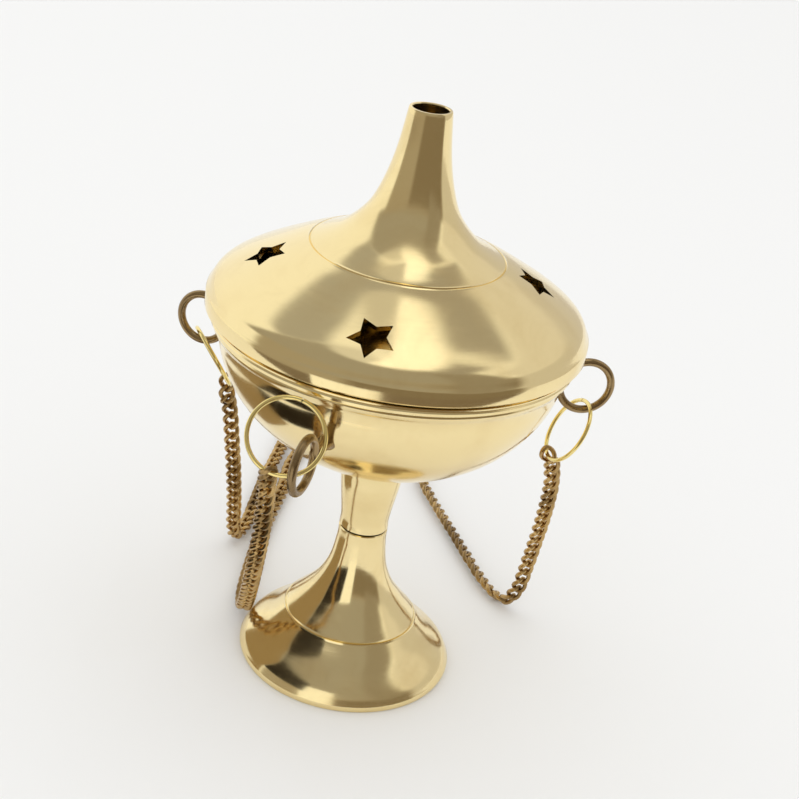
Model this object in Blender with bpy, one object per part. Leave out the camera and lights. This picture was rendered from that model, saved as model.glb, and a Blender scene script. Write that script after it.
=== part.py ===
"""A small brass thurible censer: a footed bowl with a lift-off lid, three lugs and three chains.

Everything is in metres, with +Z up and the foot standing on z = 0. The turned pieces share one
axis, which stands a little off the origin so that the origin is in the middle of the outline.
Azimuths are in degrees from the front (-Y) towards +X, and the chains' points are measured
from the axis too.
"""

from math import acos, asin, atan2, cos, pi, radians, sin

import bmesh
import bpy
from mathutils import Matrix, Vector

# Driving dimensions
AXIS = Vector((-0.0007, 0.0046, 0))  # the turned pieces' axis, from the middle of the outline
GAP = 0.0003  # between pieces that touch
WALL = 0.0013  # lid and bowl
TURNED_SIDES = 48
CREASE = radians(35)  # edges sharper than this stay sharp

LID_RADIUS = 0.0390
LID_EDGE_BOTTOM = 0.0814
LID_EDGE_TOP = 0.0847
LID_TOP = 0.1259
SPOUT_RADIUS = 0.0043
SPOUT_WALL = 0.0009
SPOUT_BOTTOM = 0.1175  # the wall is thinner above this
LIP_DEPTH = 0.0030
LIP_WALL = 0.0010

STAR_RADIUS = 0.0048
STAR_INNER = 0.55  # inner corners, as a share of the star's radius
STAR_POINTS = 5
STARS = {  # azimuth, distance from the axis, turn about its own centre
    "front": (-7, 0.0322, 14),
    "left": (-80, 0.0278, 12),
    "right": (92, 0.0263, 10),
    "back": (184, 0.0285, 5),
}

RIM_RADIUS = 0.0378
RIM_HEIGHT = 0.0014  # of the rim band's upright part
RIM_TAPER = 0.0006  # how much narrower the band's lower edge is
RIM_LOWER = 0.0030  # the lower edge, down from the rim
RIM_BOTTOM = 0.0763  # where the rim band runs into the belly
BOWL_RIM = LID_EDGE_BOTTOM - GAP
BELLY_RADIUS = 0.0359
BELLY_DEPTH = 0.0288  # as if the belly closed to a point
BELLY_TOP = 0.0788  # the level of the belly's full width
BELLY_STEPS = 14
SEAT_RADIUS = 0.0085  # flat under the bowl, where the stem meets it

SEAM = 0.0330  # where the stem stands on the foot
WAIST_RADIUS = 0.0053
FOOT_RADIUS = 0.0236
FOOT_RIM = 0.0014  # height of the foot's widest part
FOOT_WALL = 0.0018
CROWN_HEIGHT = 0.0090  # flat inside the hollow foot
CROWN_RADIUS = 0.0085

BOLT_RADIUS = 0.0019
BOLT_HOLE = BOLT_RADIUS + GAP
BOLT_HEAD_RADIUS = 0.0040
BOLT_HEAD_HEIGHT = 0.0018
BOLT_HEAD_TOP = 0.0028  # radius of the flat on its domed top
BOLT_HEAD_EDGE = 0.0009  # height of its upright edge
BOLT_BELOW_NUT = 0.0008
NUT_RADIUS = 0.0040  # to its corners
NUT_HEIGHT = 0.0030
WASHER_RADIUS = 0.0050
WASHER_HEIGHT = 0.0008

LUG_WIRE = 0.0017
STUB_RADIUS = 0.0011  # the short arm from the lug's ring to the bowl
LUGS = {  # azimuth, distance from the axis, height, radius to the middle of the wire
    "front": (-16.5, 0.0442, 0.0680, 0.0052),
    "right": (103, 0.0430, 0.0695, 0.0056),
    "left": (-108, 0.0432, 0.0693, 0.0052),
}

JUMP_WIRE = 0.0009
JUMP_RADIUS = 0.0072  # to the middle of the wire
JUMP_RINGS = {  # centre, direction square to the ring, whether it hangs from the lug's top or foot
    "front": ((-0.0165, -0.0400, 0.0721), (0.050, -0.879, 0.475), 1),
    "right": ((0.0401, 0.0079, 0.0594), (-0.869, -0.208, 0.450), -1),
    "left": ((-0.0382, 0.0149, 0.0598), (0.774, 0.358, 0.523), -1),
}

CHAIN_DIAMETER = 0.0030
CHAIN_STEP = 0.0072  # about the distance between the tube's points
CHAINS = {  # each from its jump ring down to the floor and back to the hanging ring
    "front": [
        (-0.0188, -0.0415, 0.0640),
        (-0.0193, -0.0330, 0.0480),
        (-0.0210, -0.0200, 0.0280),
        (-0.0228, -0.0060, 0.0120),
        (-0.0243, 0.0060, 0.0034),
        (-0.0252, 0.0160, 0.0017),
        (-0.0250, 0.0350, 0.0016),
        (-0.0240, 0.0500, 0.0016),
        (-0.0225, 0.0650, 0.0016),
        (-0.0220, 0.0800, 0.0016),
        (-0.0175, 0.0970, 0.0016),
        (-0.0080, 0.1118, 0.0016),
    ],
    "left": [
        (-0.0347, 0.0172, 0.0503),
        (-0.0339, 0.0199, 0.0450),
        (-0.0328, 0.0222, 0.0355),
        (-0.0320, 0.0262, 0.0250),
        (-0.0316, 0.0306, 0.0150),
        (-0.0314, 0.0338, 0.0072),
        (-0.0308, 0.0370, 0.0024),
        (-0.0292, 0.0440, 0.0016),
        (-0.0285, 0.0560, 0.0016),
        (-0.0277, 0.0700, 0.0016),
        (-0.0262, 0.0850, 0.0016),
        (-0.0250, 0.1000, 0.0016),
        (-0.0240, 0.1150, 0.0016),
        (-0.0235, 0.1300, 0.0016),
        (-0.0195, 0.1425, 0.0016),
        (-0.0110, 0.1485, 0.0016),
        (-0.0045, 0.1445, 0.0016),
        (-0.0026, 0.1352, 0.0016),
    ],
    "right": [
        (0.0383, 0.0084, 0.0508),
        (0.0397, 0.0120, 0.0430),
        (0.0402, 0.0180, 0.0300),
        (0.0398, 0.0232, 0.0160),
        (0.0390, 0.0254, 0.0070),
        (0.0365, 0.0276, 0.0022),
        (0.0318, 0.0343, 0.0016),
        (0.0243, 0.0532, 0.0016),
        (0.0150, 0.0781, 0.0016),
        (0.0132, 0.0900, 0.0016),
        (0.0160, 0.1020, 0.0016),
        (0.0225, 0.1110, 0.0016),
        (0.0260, 0.1220, 0.0016),
        (0.0245, 0.1320, 0.0016),
        (0.0180, 0.1362, 0.0016),
        (0.0102, 0.1306, 0.0016),
    ],
}

HANGING_WIRE = 0.0016
HANGING_RADIUS = 0.0082  # to the middle of the wire
HANGING_CENTRE = (0.0000, 0.1220, 0.0024)
END_WIRE = 0.0009
END_RADIUS = 0.00305  # to the middle of the wire
END_HEIGHT = 0.0036
END_OUTWARD = 0.0006  # from the hanging ring's wire to the end ring's centre
END_AZIMUTHS = {"front": -38, "right": 130, "left": 191}  # round the hanging ring's own centre


def clear_scene():
    for old in list(bpy.data.objects):
        bpy.data.objects.remove(old)


def brass(name, colour, roughness):
    """A metal of its own for one sub-part."""
    made = bpy.data.materials.new(name)
    made.use_nodes = True
    shader = made.node_tree.nodes["Principled BSDF"]
    shader.inputs["Base Color"].default_value = (*colour, 1)
    shader.inputs["Metallic"].default_value = 1
    shader.inputs["Roughness"].default_value = roughness
    return made


def piece(name, bm, metal, stand, place=(0, 0, 0)):
    """A named object of this shape, placed from the shared axis."""
    bmesh.ops.remove_doubles(bm, verts=bm.verts, dist=1e-7)
    bmesh.ops.recalc_face_normals(bm, faces=bm.faces)
    mesh = bpy.data.meshes.new(name)
    bm.to_mesh(mesh)
    bm.free()
    mesh.shade_smooth()
    mesh.set_sharp_from_angle(angle=CREASE)
    mesh.materials.append(metal)
    made = bpy.data.objects.new(name, mesh)
    bpy.context.collection.objects.link(made)
    made.parent = stand
    made.location = place
    return made


def boolean(target, tool, operation):
    """Cuts the tool out of the target, or joins it on, and hides the tool."""
    tool.hide_render = True
    tool.display_type = "WIRE"
    change = target.modifiers.new(tool.name, "BOOLEAN")
    change.object = tool
    change.operation = operation
    change.solver = "EXACT"


def smooth_curve(stations, steps):
    """Points on a Catmull-Rom curve through the stations, with steps points to each stretch."""
    points = [Vector(p) for p in stations]
    ends = [2 * points[0] - points[1], *points, 2 * points[-1] - points[-2]]
    curve = []
    for before, start, end, after in zip(ends, ends[1:], ends[2:], ends[3:]):
        for step in range(steps):
            t = step / steps
            bend = 2 * before - 5 * start + 4 * end - after
            twist = 3 * start - before - 3 * end + after
            curve.append(start + (end - before) * t / 2 + bend * t**2 / 2 + twist * t**3 / 2)
    return [*curve, points[-1]]


def evenly(points, spacing):
    """Points about this far apart along the polyline, its two ends among them."""
    lengths = [0.0]
    for start, end in zip(points, points[1:]):
        lengths.append(lengths[-1] + (end - start).length)
    count = round(lengths[-1] / spacing)
    spread = [points[0]]
    i = 0
    for step in range(1, count):
        reach = lengths[-1] * step / count
        while lengths[i + 1] < reach:
            i += 1
        share = (reach - lengths[i]) / (lengths[i + 1] - lengths[i])
        spread.append(points[i].lerp(points[i + 1], share))
    return [*spread, points[-1]]


def inset(outline, wall):
    """The outline moved inwards by the wall, where it runs down the outer side."""
    moved = []
    for i, here in enumerate(outline):
        along = outline[min(i + 1, len(outline) - 1)] - outline[max(i - 1, 0)]
        inward = Vector((along.y, -along.x)).normalized()
        moved.append(here + inward * wall)
    return moved


def turned(outline, sides=TURNED_SIDES):
    """The closed outline of (radius, height) points, spun round the axis."""
    bm = bmesh.new()
    verts = [bm.verts.new((radius, 0, height)) for radius, height in outline]
    edges = [bm.edges.new(pair) for pair in zip(verts, verts[1:] + verts[:1])]
    bmesh.ops.spin(
        bm, geom=verts + edges, cent=(0, 0, 0), axis=(0, 0, 1), angle=2 * pi, steps=sides,
        use_merge=True,
    )
    return bm


def wire_ring(radius, wire, sides=32, wire_sides=8):
    """A closed ring of round wire in the XY plane, centred on the origin."""
    section = [
        (radius + wire / 2 * cos(2 * pi * i / wire_sides), wire / 2 * sin(2 * pi * i / wire_sides))
        for i in range(wire_sides)
    ]
    return turned(section, sides)


def around(azimuth, radius, height):
    """The point at this azimuth, distance from the axis and height."""
    angle = radians(azimuth)
    return Vector((radius * sin(angle), -radius * cos(angle), height))


def lid_outline():
    """The lid's outer side, from the spout's mouth down to the edge's upper corner."""
    return smooth_curve(
        [
            (SPOUT_RADIUS, LID_TOP),
            (0.0054, SPOUT_BOTTOM),
            (0.0070, 0.1109),
            (0.0094, 0.1052),
            (0.0136, 0.1005),
            (0.0180, 0.0978),
            (0.0230, 0.0956),
            (0.0290, 0.0925),
            (0.0340, 0.0897),
            (0.0373, 0.0873),
            (LID_RADIUS, LID_EDGE_TOP),
        ],
        steps=3,
    )


def lid_section():
    """The lid's closed outline: outer side, edge, locating lip, inner side and spout."""
    outer = lid_outline()
    lip_out = BELLY_RADIUS - WALL - 2 * GAP
    lip_in = lip_out - LIP_WALL
    lip_foot = LID_EDGE_BOTTOM - LIP_DEPTH
    inner = [p for p in inset(outer, WALL) if p.x < lip_in - GAP and p.y < SPOUT_BOTTOM]
    spout = [p for p in inset(outer, SPOUT_WALL) if p.y > SPOUT_BOTTOM]
    return (
        [(p.x, p.y) for p in outer]
        + [(LID_RADIUS, LID_EDGE_BOTTOM), (lip_out, LID_EDGE_BOTTOM)]
        + [(lip_out, lip_foot), (lip_in, lip_foot), (lip_in, LID_EDGE_BOTTOM)]
        + [(p.x, p.y) for p in inner[::-1]]
        + [(p.x, p.y) for p in spout[:0:-1]]
        + [(SPOUT_RADIUS - SPOUT_WALL, LID_TOP)]
    )


def star_place(azimuth, radius):
    """Where a star is centred on the lid's outer side, and the side's slope there."""
    outer = lid_outline()
    for above, below in zip(outer, outer[1:]):
        if above.x <= radius <= below.x:
            share = (radius - above.x) / (below.x - above.x)
            slope = atan2(below.y - above.y, below.x - above.x)
            return around(azimuth, radius, above.lerp(below, share).y), slope
    raise ValueError("no such distance on the lid")


def star_cutter(azimuth, slope, turned_by):
    """A five-pointed prism square to the cone, one point sideways round the lid unless turned."""
    bm = bmesh.new()
    corners = []
    for i in range(2 * STAR_POINTS):
        reach = STAR_RADIUS * (STAR_INNER if i % 2 else 1)
        angle = pi * i / STAR_POINTS - radians(turned_by)
        corners.append(bm.verts.new((-reach * cos(angle), reach * sin(angle), -4 * WALL)))
    floor = bm.faces.new(corners)
    top = bmesh.ops.extrude_face_region(bm, geom=[floor])["geom"]
    moved = [v for v in top if isinstance(v, bmesh.types.BMVert)]
    bmesh.ops.translate(bm, verts=moved, vec=(0, 0, 8 * WALL))
    lean = Matrix.Rotation(-slope, 4, "X")
    turn = Matrix.Rotation(radians(azimuth), 4, "Z")
    bmesh.ops.transform(bm, matrix=turn @ lean, verts=bm.verts)
    return bm


def lid(stand, metal):
    """Broad cone with a concave flare to the open spout, and a lip that drops into the bowl."""
    made = piece("lid", turned(lid_section()), metal, stand)
    for side, (azimuth, radius, turned_by) in STARS.items():
        place, slope = star_place(azimuth, radius)
        prism = star_cutter(azimuth, slope, turned_by)
        cutter = piece(f"star_{side}", prism, metal, stand, place)
        boolean(made, cutter, "DIFFERENCE")


def belly(wall=0.0):
    """The bowl's round side, this far in from its outer face, from the rim band to the seat."""
    radius = BELLY_RADIUS - wall
    depth = BELLY_DEPTH - wall
    start = asin((BELLY_TOP - RIM_BOTTOM) / depth)
    end = acos(SEAT_RADIUS / radius)
    angles = [start + (end - start) * i / BELLY_STEPS for i in range(BELLY_STEPS + 1)]
    return [(radius * cos(a), BELLY_TOP - depth * sin(a)) for a in angles]


def seat_height():
    """The level of the flat under the bowl."""
    return belly()[-1][1]


def bowl(stand, metal):
    """Round bowl with a flared rim band, a flat seat underneath and the bolt's hole."""
    outside = belly()
    inside = belly(WALL)
    floor = outside[-1][1] + WALL
    outline = (
        [(RIM_RADIUS, BOWL_RIM), (RIM_RADIUS, BOWL_RIM - RIM_HEIGHT)]
        + [(RIM_RADIUS - RIM_TAPER, BOWL_RIM - RIM_LOWER)]
        + outside
        + [(BOLT_HOLE, outside[-1][1]), (BOLT_HOLE, floor)]
        + [(inside[-1][0], floor)]
        + inside[-2::-1]
        + [(BELLY_RADIUS - WALL, BOWL_RIM)]
    )
    piece("bowl", turned(outline), metal, stand)


def stem(stand, metal):
    """Waisted piece between the seam and the bowl's seat."""
    top = seat_height() - GAP
    outer = smooth_curve(
        [
            (SEAT_RADIUS - GAP, top),
            (0.0068, 0.0476),
            (0.0064, 0.0438),
            (WAIST_RADIUS, 0.0361),
            (WAIST_RADIUS, SEAM),
        ],
        steps=3,
    )
    outline = [(p.x, p.y) for p in outer] + [(BOLT_HOLE, SEAM), (BOLT_HOLE, top)]
    piece("stem", turned(outline), metal, stand)


def foot(stand, metal):
    """Bell foot, hollow from below up to a crown that the bolt goes through."""
    top = SEAM - GAP
    outer = smooth_curve(
        [
            (WAIST_RADIUS, top),
            (0.0054, 0.0295),
            (0.0063, 0.0238),
            (0.0083, 0.0190),
            (0.0111, 0.0152),
            (0.0145, 0.0114),
            (0.0178, 0.0076),
            (0.0221, 0.0038),
            (FOOT_RADIUS, FOOT_RIM),
        ],
        steps=3,
    )
    hollow = [p for p in inset(outer, FOOT_WALL) if FOOT_RIM < p.y < CROWN_HEIGHT - GAP]
    outline = (
        [(p.x, p.y) for p in outer]
        + [(FOOT_RADIUS - GAP, 0), (hollow[-1].x, 0)]
        + [(p.x, p.y) for p in hollow[::-1]]
        + [(CROWN_RADIUS, CROWN_HEIGHT), (BOLT_HOLE, CROWN_HEIGHT), (BOLT_HOLE, top)]
    )
    piece("foot", turned(outline), metal, stand)


def fastening(stand, metal):
    """The bolt that clamps bowl, stem and foot, with its washer and nut in the hollow foot."""
    head = seat_height() + WALL + GAP
    washer_top = CROWN_HEIGHT - GAP
    nut_top = washer_top - WASHER_HEIGHT - GAP
    tip = nut_top - NUT_HEIGHT - BOLT_BELOW_NUT
    bolt = [(0, head + BOLT_HEAD_HEIGHT), (BOLT_HEAD_TOP, head + BOLT_HEAD_HEIGHT)]
    bolt += [(BOLT_HEAD_RADIUS, head + BOLT_HEAD_EDGE), (BOLT_HEAD_RADIUS, head)]
    bolt += [(BOLT_RADIUS, head), (BOLT_RADIUS, tip), (0, tip)]
    piece("tie_bolt", turned(bolt, 24), metal, stand)
    for name, radius, top, height, sides in (
        ("tie_washer", WASHER_RADIUS, washer_top, WASHER_HEIGHT, 24),
        ("tie_nut", NUT_RADIUS, nut_top, NUT_HEIGHT, 6),
    ):
        rim = [(radius, top), (radius, top - height), (BOLT_HOLE, top - height), (BOLT_HOLE, top)]
        piece(name, turned(rim, sides), metal, stand)


def belly_radius(height):
    """How far the bowl's outer side is from the axis at this height."""
    return BELLY_RADIUS * (1 - ((BELLY_TOP - height) / BELLY_DEPTH) ** 2) ** 0.5


def lugs(stand, metal):
    """Upright rings of thick wire under the bowl's rim, each on a short arm from the bowl."""
    for side, (azimuth, radius, height, ring_radius) in LUGS.items():
        place = around(azimuth, radius, height)
        ring = piece(f"lug_{side}", wire_ring(ring_radius, LUG_WIRE, 28), metal, stand, place)
        ring.rotation_euler = (pi / 2, 0, radians(azimuth - 90))
        near = belly_radius(height + STUB_RADIUS) + GAP
        far = radius - ring_radius
        rod = [(0, far), (STUB_RADIUS, far), (STUB_RADIUS, near), (0, near)]
        arm = piece(f"arm_{side}", turned(rod, 12), metal, stand, (0, 0, height))
        arm.rotation_euler = (pi / 2, 0, radians(azimuth))
        boolean(ring, arm, "UNION")


def jump_rings(stand, metal):
    """Rings of thin wire through the lugs, each with its origin on the line it swings about."""
    for side, (centre, square, end) in JUMP_RINGS.items():
        azimuth, radius, height, ring_radius = LUGS[side]
        pivot = around(azimuth, radius, height + end * ring_radius)
        bm = wire_ring(JUMP_RADIUS, JUMP_WIRE, 36)
        lean = Vector((0, 0, 1)).rotation_difference(Vector(square)).to_matrix().to_4x4()
        shift = Matrix.Translation(Vector(centre) - pivot)
        bmesh.ops.transform(bm, matrix=shift @ lean, verts=bm.verts)
        piece(f"jump_ring_{side}", bm, metal, stand, pivot)


def chains(stand, metal):
    """Each chain as one smooth round cord of its own length."""
    for side, route in CHAINS.items():
        points = evenly(smooth_curve(route, 8), CHAIN_STEP)
        curve = bpy.data.curves.new(f"chain_{side}", "CURVE")
        curve.dimensions = "3D"
        curve.bevel_depth = CHAIN_DIAMETER / 2
        curve.bevel_resolution = 2
        curve.use_fill_caps = True
        strand = curve.splines.new("POLY")
        strand.points.add(len(points) - 1)
        for target, point in zip(strand.points, points):
            target.co = (*point, 1)
        curve.materials.append(metal)
        made = bpy.data.objects.new(curve.name, curve)
        bpy.context.collection.objects.link(made)
        made.parent = stand


def end_rings(stand, metal):
    """The small upright rings that join the chains to the hanging ring."""
    centre = Vector(HANGING_CENTRE)
    for side, azimuth in END_AZIMUTHS.items():
        place = around(azimuth, HANGING_RADIUS + END_OUTWARD, 0) + centre
        place.z = END_HEIGHT
        bm = wire_ring(END_RADIUS, END_WIRE, 24)
        ring = piece(f"end_ring_{side}", bm, metal, stand, place)
        ring.rotation_euler = (pi / 2, 0, radians(azimuth - 90))


def main():
    clear_scene()
    stand = bpy.data.objects.new("censer", None)
    bpy.context.collection.objects.link(stand)
    stand.location = AXIS
    lid(stand, brass("lid_brass", (0.80, 0.66, 0.38), 0.16))
    bowl(stand, brass("bowl_brass", (0.80, 0.64, 0.36), 0.18))
    stem(stand, brass("stem_brass", (0.78, 0.62, 0.35), 0.18))
    foot(stand, brass("foot_brass", (0.80, 0.65, 0.38), 0.17))
    fastening(stand, brass("fastening_brass", (0.60, 0.52, 0.34), 0.35))
    lugs(stand, brass("lug_brass", (0.62, 0.45, 0.20), 0.28))
    jump_rings(stand, brass("jump_ring_brass", (0.82, 0.66, 0.30), 0.20))
    chains(stand, brass("chain_brass", (0.60, 0.44, 0.20), 0.30))
    end_rings(stand, brass("end_ring_brass", (0.80, 0.64, 0.30), 0.22))
    hanger = wire_ring(HANGING_RADIUS, HANGING_WIRE, 36)
    piece("hanging_ring", hanger, brass("hanger_brass", (0.70, 0.54, 0.26), 0.24), stand,
          HANGING_CENTRE)


main()
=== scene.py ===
import random
from math import acos, atan2, cos, pi, radians, sin

import bmesh
import bpy
from mathutils import Matrix, Vector


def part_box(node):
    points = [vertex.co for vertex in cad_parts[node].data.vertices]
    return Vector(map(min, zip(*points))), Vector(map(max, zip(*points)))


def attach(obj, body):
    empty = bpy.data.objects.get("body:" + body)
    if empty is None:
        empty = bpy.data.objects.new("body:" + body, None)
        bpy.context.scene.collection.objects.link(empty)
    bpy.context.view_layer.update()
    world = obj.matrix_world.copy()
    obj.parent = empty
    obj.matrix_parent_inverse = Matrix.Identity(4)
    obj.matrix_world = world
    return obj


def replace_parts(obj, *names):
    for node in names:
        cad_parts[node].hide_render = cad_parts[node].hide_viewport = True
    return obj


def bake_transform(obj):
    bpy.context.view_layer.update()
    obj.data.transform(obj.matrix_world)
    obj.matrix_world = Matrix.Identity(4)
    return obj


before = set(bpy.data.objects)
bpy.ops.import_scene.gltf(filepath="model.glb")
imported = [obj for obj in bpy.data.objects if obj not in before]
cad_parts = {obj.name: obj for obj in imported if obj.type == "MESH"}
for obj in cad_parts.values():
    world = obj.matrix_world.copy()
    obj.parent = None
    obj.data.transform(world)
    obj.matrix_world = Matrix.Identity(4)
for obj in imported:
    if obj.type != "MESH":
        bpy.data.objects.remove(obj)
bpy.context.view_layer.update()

# ---------------------------------------------------------------- dimensions, as in the CAD part
low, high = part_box("stem")
AXIS = Vector(((low.x + high.x) / 2, (low.y + high.y) / 2, 0))  # the turned pieces' axis
SIDES = 192
WALL = 0.0013
GAP = 0.0003  # between pieces that touch
CREASE = radians(38)

LID_RADIUS = 0.0390
LID_EDGE_BOTTOM = 0.0814
LID_EDGE_TOP = 0.0847
LID_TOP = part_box("lid")[1].z
SPOUT_RADIUS = 0.0043
SPOUT_WALL = 0.0007
SPOUT_BOTTOM = 0.1175
LIP_DEPTH = 0.0030
LIP_WALL = 0.0010
LID_LINE = 0.0192  # the turned line's distance from the axis
STAR_RADIUS = 0.0048
STAR_INNER = 0.55  # of the star's own radius
STAR_POINTS = 5
STARS = {
    "front": (-7, 0.0322, 14),
    "left": (-80, 0.0278, 12),
    "right": (92, 0.0263, 10),
    "back": (184, 0.0285, 5),
}

BOWL_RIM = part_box("bowl")[1].z
BELLY_RADIUS = 0.0359
BELLY_DEPTH = 0.0288
BELLY_TOP = 0.0788
INSIDE_START, INSIDE_STEPS = radians(2), 40
OUTSIDE_START, OUTSIDE_STEPS = radians(8), 60
SEAT_RADIUS = 0.0085
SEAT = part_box("bowl")[0].z
SEAM = 0.0330
BOLT_HOLE = 0.0022
WAIST_RADIUS = 0.0053
FOOT_RADIUS = 0.0236
FOOT_WALL = 0.0018
FOOT_CROWN = 0.0090  # ceiling of the hollow
FOOT_CROWN_RADIUS = 0.0085
FOOT_LINE = 0.0142

LUG_WIRE = 0.0017
LUGS = {
    "front": (-16.5, 0.0442, 0.0680, 0.0052),
    "right": (103, 0.0430, 0.0695, 0.0056),
    "left": (-108, 0.0432, 0.0693, 0.0052),
}
JUMP_WIRE = 0.0009
JUMP_RADIUS = 0.0072
ARM_WIRE = 0.0020
ARM_SIDES = 18
JUMP_RINGS = {
    "front": ((-0.0165, -0.0400, 0.0721), (0.050, -0.879, 0.475)),
    "right": ((0.0401, 0.0079, 0.0594), (-0.869, -0.208, 0.450)),
    "left": ((-0.0382, 0.0149, 0.0598), (0.774, 0.358, 0.523)),
}
CHAINS = {
    "front": [
        (-0.0188, -0.0415, 0.0640),
        (-0.0193, -0.0330, 0.0480),
        (-0.0210, -0.0200, 0.0280),
        (-0.0228, -0.0060, 0.0120),
        (-0.0243, 0.0060, 0.0034),
        (-0.0252, 0.0160, 0.0017),
        (-0.0250, 0.0350, 0.0016),
        (-0.0240, 0.0500, 0.0016),
        (-0.0225, 0.0650, 0.0016),
        (-0.0220, 0.0800, 0.0016),
        (-0.0175, 0.0970, 0.0016),
        (-0.0080, 0.1118, 0.0016),
    ],
    "left": [
        (-0.0347, 0.0172, 0.0503),
        (-0.0339, 0.0199, 0.0450),
        (-0.0328, 0.0222, 0.0355),
        (-0.0320, 0.0262, 0.0250),
        (-0.0316, 0.0306, 0.0150),
        (-0.0314, 0.0338, 0.0072),
        (-0.0308, 0.0370, 0.0024),
        (-0.0292, 0.0440, 0.0016),
        (-0.0285, 0.0560, 0.0016),
        (-0.0277, 0.0700, 0.0016),
        (-0.0262, 0.0850, 0.0016),
        (-0.0250, 0.1000, 0.0016),
        (-0.0240, 0.1150, 0.0016),
        (-0.0235, 0.1300, 0.0016),
        (-0.0195, 0.1425, 0.0016),
        (-0.0110, 0.1485, 0.0016),
        (-0.0045, 0.1445, 0.0016),
        (-0.0026, 0.1352, 0.0016),
    ],
    "right": [
        (0.0383, 0.0084, 0.0508),
        (0.0397, 0.0120, 0.0430),
        (0.0402, 0.0180, 0.0300),
        (0.0398, 0.0232, 0.0160),
        (0.0390, 0.0254, 0.0070),
        (0.0365, 0.0276, 0.0022),
        (0.0318, 0.0343, 0.0016),
        (0.0243, 0.0532, 0.0016),
        (0.0150, 0.0781, 0.0016),
        (0.0132, 0.0900, 0.0016),
        (0.0160, 0.1020, 0.0016),
        (0.0225, 0.1110, 0.0016),
        (0.0260, 0.1220, 0.0016),
        (0.0245, 0.1320, 0.0016),
        (0.0180, 0.1362, 0.0016),
        (0.0102, 0.1306, 0.0016),
    ],
}
LINK_PITCH = 0.0030
LINK_WIDTH = 0.0038
LINK_WIRE = 0.00105
LINK_TWIST = radians(42)
LINK_STEPS = 22
HOOKED_LINKS = 2  # links made as a separate piece at the jump ring
FIRST_LINK = 0.0006
LINK_ROLL = 0.10
LINK_TILT = 0.05

HANGING_WIRE = 0.0016
HANGING_RADIUS = 0.0082
HANGING_CENTRE = Vector((0.0000, 0.1220, 0.0024))
END_WIRE = 0.0009
END_RADIUS = 0.00305
END_HEIGHT = 0.0036
END_OUTWARD = 0.0006
END_AZIMUTHS = {"front": -38, "right": 130, "left": 191}

# Painted reflections, which only the metal mirrors and which light nothing, each zone over the ones
# before: azimuths from the front towards +X, heights above the horizon, how soft its sides are, and
# its colour
SOFT_LIGHT = 1.1
SURROUND = (1.0, 1.0, 0.97)  # where no zone lies
PAINTED_REFLECTIONS = (
    (84, 200, -20, 60, 5, (0.86, 0.85, 0.83)),  # painted reflection of a wall on the right
    (84, 200, -20, 47, 5, (0.74, 0.72, 0.70)),
    (84, 200, -20, 22, 8, (0.62, 0.60, 0.58)),
    (118, 200, 50, 70, 6, (0.38, 0.36, 0.34)),  # painted reflection of a lamp's edge, behind
    (-200, -98, 49, 70, 4, (0.42, 0.41, 0.40)),
    (-102, -22, 66, 84, 5, (0.72, 0.71, 0.69)),
    (-98, 66, 20, 70, 4, (0.36, 0.34, 0.31)),  # painted dark reflection of the room's end, in front
    (-84, 82, -30, 26, 4, (0.38, 0.34, 0.28)),
    (-22, 82, -30, 22, 7, (0.22, 0.18, 0.13)),
    (40, 78, 15, 62, 5, (0.30, 0.27, 0.23)),
    (-84, 82, -80, -6, 5, (0.20, 0.16, 0.12)),
    (62, 104, 58, 72, 5, (0.35, 0.33, 0.31)),
    (-26, 200, 73, 95, 4, (1.30, 1.30, 1.27)),  # painted highlight of a lamp overhead, which lights nothing
    (-182, -140, 68, 95, 6, (0.62, 0.60, 0.57)),
)


# ---------------------------------------------------------------- stage
def camera():
    """The viewpoint: above the lid, looking down at the censer, with the camera rolled sideways."""
    data = bpy.data.cameras.new("camera")
    data.sensor_width = 36
    data.lens = 68.2
    data.clip_start = 0.01
    made = bpy.data.objects.new("camera", data)
    bpy.context.scene.collection.objects.link(made)
    made.location = AXIS + Vector((-0.0001, -0.2844, 0.2009))
    yaw, pitch = radians(0.67), radians(25.72)
    ahead = Vector((sin(yaw) * cos(pitch), cos(yaw) * cos(pitch), -sin(pitch)))
    turn = ahead.to_track_quat("-Z", "Y").to_matrix() @ Matrix.Rotation(radians(9.56), 3, "Z")
    made.rotation_euler = turn.to_euler()
    bpy.context.scene.camera = made


def floor():
    """Plain white surface that the censer stands on."""
    mesh = bpy.data.meshes.new("floor")
    size, front = 2.5, -0.125  # the table ends a little in front of the censer
    corners = [(-size, front, 0), (size, front, 0), (size, size, 0), (-size, size, 0)]
    mesh.from_pydata(corners, [], [(0, 1, 2, 3)])
    paint = bpy.data.materials.new("floor_white")
    paint.use_nodes = True
    shader = paint.node_tree.nodes["Principled BSDF"]
    shader.inputs["Base Color"].default_value = (0.86, 0.86, 0.85, 1)
    shader.inputs["Roughness"].default_value = 0.6
    shader.inputs["Specular IOR Level"].default_value = 0.2
    mesh.materials.append(paint)
    made = bpy.data.objects.new("floor", mesh)
    bpy.context.scene.collection.objects.link(made)


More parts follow.
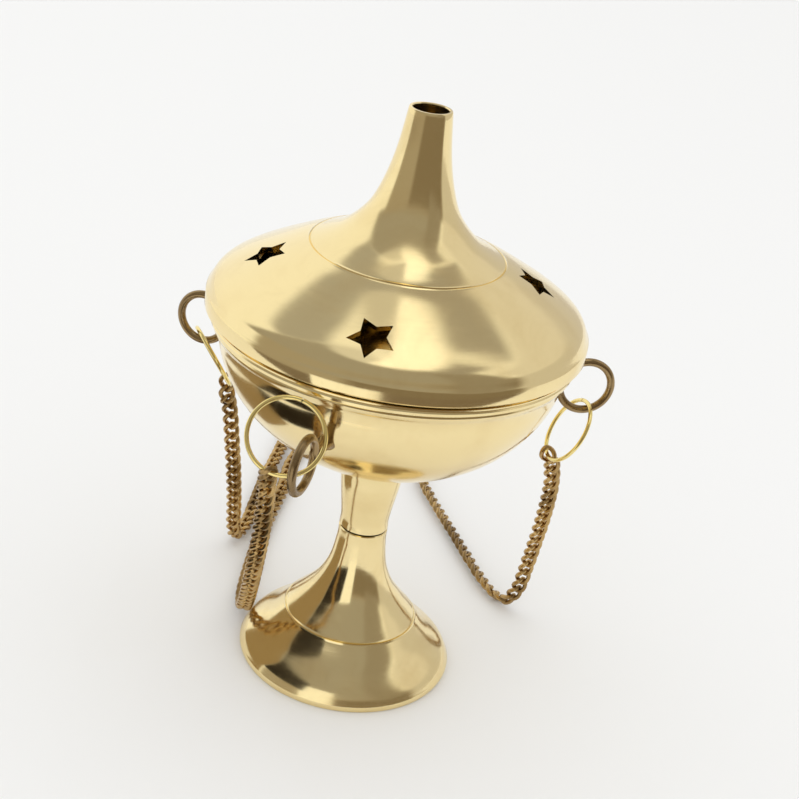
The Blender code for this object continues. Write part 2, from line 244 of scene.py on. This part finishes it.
def painted_reflection_panel(name, azimuth, distance, width, bottom, top, shade):
    """A low upright glowing panel beside the censer: a painted reflection, which shows only in the
    polished metal and lights nothing.
    """
    centre = AXIS + around(azimuth, distance, bottom)
    along = around(azimuth + 90, 1, 0) * width / 2
    up = Vector((0, 0, top - bottom))
    mesh = bpy.data.meshes.new(name)
    corners = [centre - along, centre + along, centre + along + up, centre - along + up]
    mesh.from_pydata([tuple(p) for p in corners], [], [(0, 1, 2, 3)])
    glow = bpy.data.materials.new(name)
    glow.use_nodes = True
    shader = glow.node_tree.nodes["Principled BSDF"]
    shader.inputs["Base Color"].default_value = (0, 0, 0, 1)
    shader.inputs["Roughness"].default_value = 1
    shader.inputs["Specular IOR Level"].default_value = 0
    shader.inputs["Emission Color"].default_value = (*shade, 1)
    shader.inputs["Emission Strength"].default_value = 1
    mesh.materials.append(glow)
    made = bpy.data.objects.new(name, mesh)
    bpy.context.scene.collection.objects.link(made)
    made.visible_camera = False
    made.visible_diffuse = False
    made.visible_shadow = False


# ---------------------------------------------------------------- materials
class Nodes:
    """Short calls for wiring a material's nodes."""

    def __init__(self, tree):
        self.tree = tree

    def add(self, kind, **settings):
        made = self.tree.nodes.new(kind)
        for key, value in settings.items():
            setattr(made, key, value)
        return made

    def put(self, socket, value):
        if isinstance(value, bpy.types.NodeSocket):
            self.tree.links.new(value, socket)
        else:
            socket.default_value = value

    def math(self, operation, *values):
        made = self.add("ShaderNodeMath", operation=operation)
        for socket, value in zip(made.inputs, values):
            self.put(socket, value)
        return made.outputs[0]

    def noise(self, vector, scale, detail=2.0, roughness=0.5, distortion=0.0):
        made = self.add("ShaderNodeTexNoise")
        self.put(made.inputs["Vector"], vector)
        made.inputs["Scale"].default_value = scale
        made.inputs["Detail"].default_value = detail
        made.inputs["Roughness"].default_value = roughness
        made.inputs["Distortion"].default_value = distortion
        return made.outputs["Fac"]

    def spread(self, value, low_in, high_in, low_out, high_out):
        made = self.add("ShaderNodeMapRange", interpolation_type="SMOOTHSTEP")
        self.put(made.inputs["Value"], value)
        made.inputs["From Min"].default_value = low_in
        made.inputs["From Max"].default_value = high_in
        made.inputs["To Min"].default_value = low_out
        made.inputs["To Max"].default_value = high_out
        return made.outputs["Result"]

    def mix(self, share, first, second):
        made = self.add("ShaderNodeMix", data_type="RGBA")
        self.put(made.inputs["Factor"], share)
        self.put(made.inputs["A"], (*first, 1) if isinstance(first, tuple) else first)
        self.put(made.inputs["B"], (*second, 1) if isinstance(second, tuple) else second)
        return made.outputs["Result"]


def sky():
    """Even white light all round, except that polished metal mirrors the painted reflection zones
    instead, which light nothing.
    """
    world = bpy.data.worlds.new("studio")
    bpy.context.scene.world = world
    world.use_nodes = True
    n = Nodes(world.node_tree)
    split = n.add("ShaderNodeSeparateXYZ")
    n.put(split.inputs[0], n.add("ShaderNodeTexCoord").outputs["Generated"])
    x, y, z = split.outputs
    azimuth = n.math("ARCTAN2", x, n.math("MULTIPLY", y, -1))
    height = n.math("ARCSINE", z)

    def within(value, start, end, soft):
        rise = n.spread(value, radians(start - soft), radians(start + soft), 0, 1)
        fall = n.spread(value, radians(end - soft), radians(end + soft), 1, 0)
        return n.math("MULTIPLY", rise, fall)

    colour = SURROUND
    for start, end, bottom, top, soft, shade in PAINTED_REFLECTIONS:
        zone = n.math("MULTIPLY", within(azimuth, start, end, soft), within(height, bottom, top, 3))
        colour = n.mix(zone, colour, shade)
    mirrored = n.add("ShaderNodeLightPath").outputs["Is Glossy Ray"]
    even = (SOFT_LIGHT, SOFT_LIGHT, SOFT_LIGHT)
    back = world.node_tree.nodes["Background"]
    n.put(back.inputs["Color"], n.mix(mirrored, even, colour))
    back.inputs["Strength"].default_value = 1


def brass(name, bright, dull, roughness, tarnish=0.3, lathe=0.0, dents=0.0):
    """Polished brass: cloudy tarnish, fine polishing streaks, and turning marks round the axis."""
    made = bpy.data.materials.new(name)
    made.use_nodes = True
    n = Nodes(made.node_tree)
    shader = made.node_tree.nodes["Principled BSDF"]
    place = n.add("ShaderNodeTexCoord").outputs["Object"]
    cloud = n.noise(place, 55, 4, 0.6, 0.6)
    fine = n.noise(place, 900, 3, 0.6)
    stain = n.math("MULTIPLY", n.spread(cloud, 0.42, 0.72, 0, 1), tarnish)
    speck = n.math("MULTIPLY", n.spread(fine, 0.60, 0.80, 0, 1), tarnish * 0.5)
    colour = n.mix(n.math("MAXIMUM", stain, speck), bright, dull)
    n.put(shader.inputs["Base Color"], colour)
    shader.inputs["Metallic"].default_value = 1
    split = n.add("ShaderNodeSeparateXYZ")
    shift = n.add("ShaderNodeVectorMath", operation="SUBTRACT")
    n.put(shift.inputs[0], place)
    shift.inputs[1].default_value = AXIS
    n.put(split.inputs[0], shift.outputs[0])
    x, y, z = split.outputs
    radius = n.math("SQRT", n.math("ADD", n.math("MULTIPLY", x, x), n.math("MULTIPLY", y, y)))
    turn = n.math("ARCTAN2", y, x)
    rings = n.add("ShaderNodeCombineXYZ")
    n.put(rings.inputs[0], radius)
    n.put(rings.inputs[1], n.math("MULTIPLY", turn, 0.0006))
    n.put(rings.inputs[2], z)
    marks = n.noise(rings.outputs[0], 4200, 2, 0.6)
    hazy = n.math("MULTIPLY", n.spread(cloud, 0.35, 0.75, 0, 1), 0.10)
    scuffed = n.math("MULTIPLY", n.math("SUBTRACT", fine, 0.5), 0.08)
    streaked = n.math("MULTIPLY", n.math("SUBTRACT", marks, 0.5), 0.10 if lathe else 0.0)
    rough = n.math("ADD", n.math("ADD", hazy, scuffed), n.math("ADD", streaked, roughness))
    n.put(shader.inputs["Roughness"], rough)
    height = n.math("MULTIPLY", fine, 0.15)
    height = n.math("ADD", height, n.math("MULTIPLY", marks, lathe))
    height = n.math("ADD", height, n.math("MULTIPLY", n.noise(place, 140, 2), dents))
    bump = n.add("ShaderNodeBump")
    bump.inputs["Strength"].default_value = 0.5
    bump.inputs["Distance"].default_value = 0.00002
    n.put(bump.inputs["Height"], height)
    n.put(shader.inputs["Normal"], bump.outputs[0])
    return made


# ---------------------------------------------------------------- shapes
def solid(name, verts, faces, metal, slot, body="base"):
    """A smooth shaded piece with these points, which rides on the body if one is named."""
    mesh = bpy.data.meshes.new(name)
    mesh.from_pydata([tuple(v) for v in verts], [], faces)
    mesh.validate()
    bm = bmesh.new()
    bm.from_mesh(mesh)
    bmesh.ops.remove_doubles(bm, verts=bm.verts, dist=1e-7)
    bmesh.ops.recalc_face_normals(bm, faces=bm.faces)
    bm.to_mesh(mesh)
    bm.free()
    mesh.shade_smooth()
    mesh.set_sharp_from_angle(angle=CREASE)
    mesh.materials.append(metal)
    made = bpy.data.objects.new(name, mesh)
    bpy.context.scene.collection.objects.link(made)
    if body:
        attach(made, body)
    return made


def smooth_curve(stations, steps):
    """Points on a Catmull-Rom curve through the stations, with steps points to each stretch."""
    points = [Vector(p) for p in stations]
    ends = [2 * points[0] - points[1], *points, 2 * points[-1] - points[-2]]
    curve = []
    for before, start, end, after in zip(ends, ends[1:], ends[2:], ends[3:]):
        for step in range(steps):
            t = step / steps
            bend = 2 * before - 5 * start + 4 * end - after
            twist = 3 * start - before - 3 * end + after
            curve.append(start + (end - before) * t / 2 + bend * t**2 / 2 + twist * t**3 / 2)
    return [*curve, points[-1]]


def inset(outline, wall):
    """The outline moved inwards by the wall, where it runs down the outer side."""
    moved = []
    for i, here in enumerate(outline):
        along = outline[min(i + 1, len(outline) - 1)] - outline[max(i - 1, 0)]
        moved.append(here + Vector((along.y, -along.x)).normalized() * wall)
    return moved


def scored(outline, reach, width, depth):
    """The outline with a fine turned line cut into it where it is this far down its length."""
    walked = 0
    for i, (start, end) in enumerate(zip(outline, outline[1:])):
        step = (end - start).length
        if walked + step > reach:
            break
        walked += step
    along = (end - start).normalized()
    inward = Vector((along.y, -along.x))
    middle = start + along * (reach - walked)
    lip = [(-1.2, 0.0), (-1.0, -0.10), (-0.55, 0.35), (0, 1), (0.55, 0.35), (1.0, -0.10), (1.2, 0.0)]
    cut = [middle + along * a * width / 2 + inward * b * depth for a, b in lip]
    near = width * 0.8
    before = [p for p in outline[: i + 1] if (p - middle).length > near]
    after = [p for p in outline[i + 1 :] if (p - middle).length > near]
    return before + cut + after


def reach_of(outline, test):
    """How far down the outline the first point is that passes the test."""
    walked = 0
    for start, end in zip(outline, outline[1:]):
        if test(start):
            return walked
        walked += (end - start).length
    return walked


def turned(name, outline, metal, slot, body="base"):
    """The closed outline of (radius, height) points, spun round the shared axis."""
    verts = []
    for i in range(SIDES):
        angle = 2 * pi * i / SIDES
        verts += [(AXIS.x + r * cos(angle), AXIS.y + r * sin(angle), z) for r, z in outline]
    count = len(outline)
    faces = []
    for i in range(SIDES):
        j = (i + 1) % SIDES
        for a in range(count):
            b = (a + 1) % count
            faces.append((i * count + a, i * count + b, j * count + b, j * count + a))
    return solid(name, verts, faces, metal, slot, body)


def around(azimuth, radius, height):
    """The point at this azimuth, distance from the axis and height, from the axis's foot."""
    angle = radians(azimuth)
    return Vector((radius * sin(angle), -radius * cos(angle), height))


def tube(centres, wire, closed, wire_sides=14):
    """Points and faces of round wire along the centres. Ends that don't meet are capped."""
    count = len(centres)
    verts, faces = [], []
    tangents = []
    for i in range(count):
        ahead = centres[(i + 1) % count] if closed or i < count - 1 else centres[i]
        back = centres[i - 1] if closed or i else centres[i]
        tangents.append((ahead - back).normalized())
    middle = sum(centres, Vector()) / count
    for centre, along in zip(centres, tangents):
        out = centre - middle
        out = (out - along * out.dot(along)).normalized()
        side = along.cross(out)
        for k in range(wire_sides):
            a = 2 * pi * k / wire_sides
            verts.append(centre + (out * cos(a) + side * sin(a)) * wire / 2)
    for i in range(count if closed else count - 1):
        j = (i + 1) % count
        for k in range(wire_sides):
            m = (k + 1) % wire_sides
            faces.append((i * wire_sides + k, i * wire_sides + m, j * wire_sides + m,
                          j * wire_sides + k))
    if not closed:
        faces.append(tuple(range(wire_sides)))
        faces.append(tuple(range(len(verts) - wire_sides, len(verts)))[::-1])
    return verts, faces


def ring_points(centre, square, radius, start=0.0, end=2 * pi, count=96, toward=None):
    """Points round a circle square to this direction, from start to end."""
    square = Vector(square).normalized()
    first = Vector(toward) if toward is not None else Vector((0, 0, 1))
    first = (first - square * first.dot(square)).normalized()
    second = square.cross(first)
    closed = end - start > 2 * pi - 1e-6
    steps = count if closed else count - 1
    angles = [start + (end - start) * i / steps for i in range(count)]
    return [centre + (first * cos(a) + second * sin(a)) * radius for a in angles]


# ---------------------------------------------------------------- turned pieces
def lid_outline():
    """The lid's outer side, from the spout's mouth down to the edge's upper corner."""
    return smooth_curve(
        [
            (SPOUT_RADIUS, LID_TOP - 0.0002),
            (0.0054, SPOUT_BOTTOM),
            (0.0070, 0.1109),
            (0.0094, 0.1052),
            (0.0136, 0.1005),
            (0.0180, 0.0978),
            (0.0230, 0.0956),
            (0.0290, 0.0925),
            (0.0340, 0.0897),
            (0.0373, 0.0873),
            (LID_RADIUS - 0.0002, LID_EDGE_TOP),
        ],
        steps=8,
    )


def star_place(azimuth, radius):
    """Where a star is centred on the lid's outer side, and the side's slope there."""
    outer = lid_outline()
    for above, below in zip(outer, outer[1:]):
        if above.x <= radius <= below.x:
            share = (radius - above.x) / (below.x - above.x)
            slope = atan2(below.y - above.y, below.x - above.x)
            return around(azimuth, radius, above.lerp(below, share).y), slope
    raise ValueError("no such distance on the lid")


def star_cutter(side, azimuth, radius, turned_by):
    """A five-pointed prism square to the cone, one point sideways round the lid unless turned."""
    place, slope = star_place(azimuth, radius)
    lean = Matrix.Rotation(-slope, 4, "X")
    turn = Matrix.Rotation(radians(azimuth), 4, "Z")
    shift = Matrix.Translation(AXIS + place)
    bm = bmesh.new()
    corners = []
    for i in range(2 * STAR_POINTS):
        reach = STAR_RADIUS * (STAR_INNER if i % 2 else 1)
        angle = pi * i / STAR_POINTS - radians(turned_by)
        corners.append(bm.verts.new((-reach * cos(angle), reach * sin(angle), -4 * WALL)))
    base = bm.faces.new(corners)
    top = bmesh.ops.extrude_face_region(bm, geom=[base])["geom"]
    moved = [v for v in top if isinstance(v, bmesh.types.BMVert)]
    bmesh.ops.translate(bm, verts=moved, vec=(0, 0, 8 * WALL))
    bmesh.ops.transform(bm, matrix=shift @ turn @ lean, verts=bm.verts)
    bmesh.ops.recalc_face_normals(bm, faces=bm.faces)
    mesh = bpy.data.meshes.new(f"star_{side}")
    bm.to_mesh(mesh)
    bm.free()
    made = bpy.data.objects.new(mesh.name, mesh)
    bpy.context.scene.collection.objects.link(made)
    return made


def apply_modifiers(target):
    graph = bpy.context.evaluated_depsgraph_get()
    shaped = bpy.data.meshes.new_from_object(target.evaluated_get(graph))
    target.modifiers.clear()
    target.data = shaped


def lid(metal):
    outer = lid_outline()
    inner_side = [p for p in inset(outer, WALL) if p.y < SPOUT_BOTTOM]
    spout = [p for p in inset(outer, SPOUT_WALL) if p.y > SPOUT_BOTTOM][1:]
    lip_out = BELLY_RADIUS - WALL - 2 * GAP
    lip_in = lip_out - LIP_WALL
    lip_foot = LID_EDGE_BOTTOM - LIP_DEPTH
    inner_side = [p for p in inner_side if p.x < lip_in - GAP]
    line = reach_of(outer, lambda p: p.x > LID_LINE)
    outer = scored(outer, line, 0.00036, 0.00022)
    edge = [
        (LID_RADIUS, LID_EDGE_TOP - 0.0003),
        (LID_RADIUS, LID_EDGE_BOTTOM + 0.0004),
        (LID_RADIUS - 0.0004, LID_EDGE_BOTTOM),
    ]
    outline = (
        [(SPOUT_RADIUS - 0.00015, LID_TOP)]
        + [tuple(p) for p in outer]
        + edge
        + [(lip_out, LID_EDGE_BOTTOM), (lip_out, lip_foot), (lip_in, lip_foot)]
        + [(lip_in, LID_EDGE_BOTTOM)]
        + [tuple(p) for p in inner_side[::-1]]
        + [tuple(p) for p in spout[::-1]]
        + [(SPOUT_RADIUS - SPOUT_WALL, LID_TOP - 0.0002)]
        + [(SPOUT_RADIUS - SPOUT_WALL + 0.00012, LID_TOP)]
    )
    made = turned("lid_shell", outline, metal, "lid", "lid")
    cutters = [star_cutter(side, *star) for side, star in STARS.items()]
    for cutter in cutters:
        cut = made.modifiers.new(cutter.name, "BOOLEAN")
        cut.object = cutter
        cut.solver = "EXACT"
    apply_modifiers(made)
    made.data.set_sharp_from_angle(angle=CREASE)
    for cutter in cutters:
        bpy.data.objects.remove(cutter)
    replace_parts(made, "lid")


def belly(wall, start, steps):
    """The bowl's round side, this far in from its outer face, from the start angle to the seat."""
    radius, depth = BELLY_RADIUS - wall, BELLY_DEPTH - wall
    end = acos(SEAT_RADIUS / radius)
    angles = [start + (end - start) * i / steps for i in range(steps + 1)]
    return [Vector((radius * cos(a), BELLY_TOP - depth * sin(a))) for a in angles]


def bowl(metal):
    inside = belly(WALL, INSIDE_START, INSIDE_STEPS)
    outside = belly(0, OUTSIDE_START, OUTSIDE_STEPS)
    rim = [
        (0.0368, BOWL_RIM),
        (0.0370, BOWL_RIM - 0.0004),
        (0.0378, BOWL_RIM - 0.0006),
        (0.0378, BOWL_RIM - 0.0009),
        (0.0375, BOWL_RIM - 0.0012),
        (0.0377, BOWL_RIM - 0.0015),
        (0.0376, BOWL_RIM - 0.0021),
        (0.0372, BOWL_RIM - 0.0024),
        (0.0373, BOWL_RIM - 0.0027),
        (0.0369, BOWL_RIM - 0.0036),
        (0.0364, BOWL_RIM - 0.0040),
        (0.0361, BOWL_RIM - 0.0047),
    ]
    floor_level = SEAT + WALL
    outline = (
        rim
        + [tuple(p) for p in outside]
        + [(BOLT_HOLE, SEAT), (BOLT_HOLE, floor_level), (inside[-1].x, floor_level)]
        + [tuple(p) for p in inside[-2::-1]]
        + [(BELLY_RADIUS - WALL, BOWL_RIM - 0.0002), (BELLY_RADIUS - WALL + 0.0002, BOWL_RIM)]
    )
    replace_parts(turned("bowl_shell", outline, metal, "bowl"), "bowl")


def stem(metal):
    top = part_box("stem")[1].z
    outer = smooth_curve(
        [
            (SEAT_RADIUS - GAP, top),
            (0.0068, 0.0476),
            (0.0064, 0.0438),
            (WAIST_RADIUS, 0.0361),
            (WAIST_RADIUS, SEAM + 0.0002),
        ],
        steps=10,
    )
    seam_edge = WAIST_RADIUS - 0.0002
    outline = [tuple(p) for p in outer] + [(seam_edge, SEAM), (BOLT_HOLE, SEAM), (BOLT_HOLE, top)]
    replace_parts(turned("stem_column", outline, metal, "stem"), "stem")


def foot(metal):
    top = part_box("foot")[1].z
    outer = smooth_curve(
        [
            (WAIST_RADIUS, top - 0.0002),
            (0.0054, 0.0295),
            (0.0063, 0.0238),
            (0.0083, 0.0190),
            (0.0111, 0.0152),
            (0.0145, 0.0114),
            (0.0178, 0.0076),
            (0.0221, 0.0038),
            (FOOT_RADIUS, 0.0014),
        ],
        steps=8,
    )
    hollow = [tuple(p) for p in inset(outer, FOOT_WALL) if 0.0014 < p.y < FOOT_CROWN - GAP]
    line = reach_of(outer, lambda p: p.x > FOOT_LINE)
    outer = scored(outer, line, 0.00034, 0.00020)
    outline = (
        [(WAIST_RADIUS - 0.0002, top)]
        + [tuple(p) for p in outer]
        + [(FOOT_RADIUS, 0.0008), (FOOT_RADIUS - 0.0003, 0.0001), (FOOT_RADIUS - 0.0008, 0)]
        + [(hollow[-1][0] + 0.0002, 0), (hollow[-1][0], 0.0002)]
        + hollow[::-1]
        + [(FOOT_CROWN_RADIUS, FOOT_CROWN), (BOLT_HOLE, FOOT_CROWN), (BOLT_HOLE, top)]
    )
    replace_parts(turned("foot_bell", outline, metal, "foot"), "foot")


# ---------------------------------------------------------------- rings and chains
def lugs(metal):
    for side, (azimuth, radius, height, ring_radius) in LUGS.items():
        centre = AXIS + around(azimuth, radius, height)
        out = around(azimuth, 1, 0)
        square = out.cross(Vector((0, 0, 1)))
        points = ring_points(centre, square, ring_radius, toward=-out)
        verts, faces = tube(points, LUG_WIRE, True)
        level = (BELLY_TOP - height) / BELLY_DEPTH
        skin = BELLY_RADIUS * (1 - level**2) ** 0.5
        near, far = skin - 0.0004, radius - ring_radius + 0.0002
        arm = [AXIS + around(azimuth, near + (far - near) * i / 9, height) for i in range(10)]
        flare = [1.9, 1.55, 1.32, 1.18, 1.10, 1.06, 1.05, 1.07, 1.12, 1.0]
        more, sheets = tube(arm, ARM_WIRE, False, ARM_SIDES)
        for i, swell in enumerate(flare):
            for k in range(i * ARM_SIDES, (i + 1) * ARM_SIDES):
                more[k] = arm[i] + (more[k] - arm[i]) * swell
        count = len(verts)
        verts += more
        faces += [tuple(count + i for i in f) for f in sheets]
        made = solid(f"lug_loop_{side}", verts, faces, metal, "lug")
        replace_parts(made, f"lug_{side}")


def jump_rings(metal):
    for side, (centre, square) in JUMP_RINGS.items():
        points = ring_points(
            AXIS + Vector(centre), square, JUMP_RADIUS, radians(1), radians(359),
            toward=(0.3, 0.5, 1),
        )
        verts, faces = tube(points, JUMP_WIRE, False)
        made = solid(f"jump_loop_{side}", verts, faces, metal, "jump_ring", f"jump_{side}")
        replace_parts(made, f"jump_ring_{side}")


def link_shape():
    """One curb link: an oval of wire, twisted so that its two ends lie across each other."""
    reach = (LINK_PITCH + LINK_WIRE) / 2
    half = (LINK_WIDTH - LINK_WIRE) / 2
    points = []
    for i in range(LINK_STEPS):
        a = 2 * pi * i / LINK_STEPS
        lean = LINK_TWIST * cos(a)
        points.append(Vector((reach * cos(a), half * sin(a) * cos(lean), half * sin(a) * sin(lean))))
    return tube(points, LINK_WIRE, True, 8)


def walk(points):
    """The distance along the points, and at each the direction on, across and up."""
    lengths = [0.0]
    for start, end in zip(points, points[1:]):
        lengths.append(lengths[-1] + (end - start).length)
    across = Vector((1, 0, 0))
    sets = []
    for i in range(len(points)):
        along = (points[min(i + 1, len(points) - 1)] - points[max(i - 1, 0)]).normalized()
        across = (across - along * across.dot(along)).normalized()
        sets.append((along, across, along.cross(across)))
    return lengths, sets


def chain_route(side):
    """From the jump ring's wire along the chain's way to its end ring's wire."""
    centre, square = JUMP_RINGS[side]
    route = [AXIS + Vector(p) for p in CHAINS[side]]
    ring = ring_points(AXIS + Vector(centre), square, JUMP_RADIUS)
    hook = min(ring, key=lambda p: (p - route[0]).length)
    end = AXIS + HANGING_CENTRE + around(END_AZIMUTHS[side], HANGING_RADIUS + END_OUTWARD, 0)
    end += around(END_AZIMUTHS[side], END_RADIUS - 0.0006, 0)
    end.z = 0.0016
    return [hook, *smooth_curve(route, 10), end]


def chain(side, metal):
    route = chain_route(side)
    lengths, sets = walk(route)
    template, sheets = link_shape()
    dice = random.Random(f"chain {side}")
    count = int((lengths[-1] - FIRST_LINK) / LINK_PITCH) + 1
    hooked, lying = ([], []), ([], [])
    i = 0
    for k in range(count):
        reach = FIRST_LINK + k * LINK_PITCH
        while i < len(route) - 2 and lengths[i + 1] < reach:
            i += 1
        share = (reach - lengths[i]) / (lengths[i + 1] - lengths[i])
        spot = route[i].lerp(route[i + 1], min(share, 1))
        along, across, up = sets[i]
        roll = dice.uniform(-LINK_ROLL, LINK_ROLL)
        tilt = dice.uniform(-LINK_TILT, LINK_TILT)
        turn = Matrix((along, across, up)).transposed()
        turn = turn @ Matrix.Rotation(roll, 3, "X") @ Matrix.Rotation(tilt, 3, "Z")
        verts, faces = hooked if k < HOOKED_LINKS else lying
        offset = len(verts)
        verts += [spot + turn @ v for v in template]
        faces += [tuple(offset + j for j in f) for f in sheets]
    top = solid(f"chain_hook_{side}", *hooked, metal, "chain", None)
    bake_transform(top)
    made = solid(f"chain_links_{side}", *lying, metal, "chain")
    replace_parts(made, f"chain_{side}")


def end_rings(metal):
    made = {}
    for side, azimuth in END_AZIMUTHS.items():
        centre = AXIS + HANGING_CENTRE + around(azimuth, HANGING_RADIUS + END_OUTWARD, 0)
        centre.z = END_HEIGHT
        square = around(azimuth + 90, 1, 0)
        points = ring_points(centre, square, END_RADIUS, radians(1.5), radians(358.5), 64)
        verts, faces = tube(points, END_WIRE, False, 12)
        made[side] = solid(f"end_loop_{side}", verts, faces, metal, "end_ring")
        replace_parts(made[side], f"end_ring_{side}")
    return made


def hanging_ring(metal):
    points = ring_points(AXIS + HANGING_CENTRE, (0, 0, 1), HANGING_RADIUS, toward=(1, 0, 0))
    verts, faces = tube(points, HANGING_WIRE, True, 16)
    made = solid("hanging_loop", verts, faces, metal, "hanging_ring")
    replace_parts(made, "hanging_ring")


# ---------------------------------------------------------------- scene
bpy.context.scene.view_settings.view_transform = "Standard"
camera()
floor()
sky()
# Glowing panels that paint dark, brown and white reflections into the metal and light nothing
painted_reflection_panel("black_painted_reflection", -50, 0.054, 0.042, 0.016, 0.050, (0.02, 0.015, 0.01))
painted_reflection_panel("brown_painted_reflection", -94, 0.056, 0.044, 0, 0.048, (0.30, 0.22, 0.12))
painted_reflection_panel("white_painted_reflection", -18, 0.095, 0.055, 0, 0.080, (1.05, 1.05, 1.02))
PALE = (0.95, 0.78, 0.42)
DEEP = (0.70, 0.48, 0.18)
# The chain's brass colours are darkened as painted shade between its links, on top of its tarnish
chain_metal_with_painted_shade = brass("chain_brass", (0.54, 0.36, 0.15), (0.14, 0.08, 0.03), 0.22, 0.8)
ends = end_rings(brass("end_ring_brass", (0.90, 0.70, 0.30), (0.55, 0.36, 0.12), 0.18))
for side in CHAINS:
    chain(side, chain_metal_with_painted_shade)
hanging_ring(brass("hanger_brass", (0.85, 0.66, 0.30), (0.50, 0.33, 0.12), 0.2))
lid(brass("lid_brass", PALE, DEEP, 0.10, 0.25, lathe=0.25))
bowl(brass("bowl_brass", PALE, DEEP, 0.10, 0.25, lathe=0.25))
stem(brass("stem_brass", PALE, DEEP, 0.12, 0.3, lathe=0.3))
foot(brass("foot_brass", PALE, DEEP, 0.12, 0.3, lathe=0.3))
lugs(brass("lug_brass", (0.36, 0.25, 0.12), (0.13, 0.08, 0.04), 0.2, 0.7))
jump_rings(brass("jump_ring_brass", (0.95, 0.78, 0.32), (0.70, 0.50, 0.18), 0.14))
fastening = brass("fastening_brass", (0.66, 0.54, 0.32), (0.34, 0.26, 0.14), 0.32, 0.5)
for name in ("tie_bolt", "tie_nut", "tie_washer"):
    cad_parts[name].data.materials.clear()
    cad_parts[name].data.materials.append(fastening)
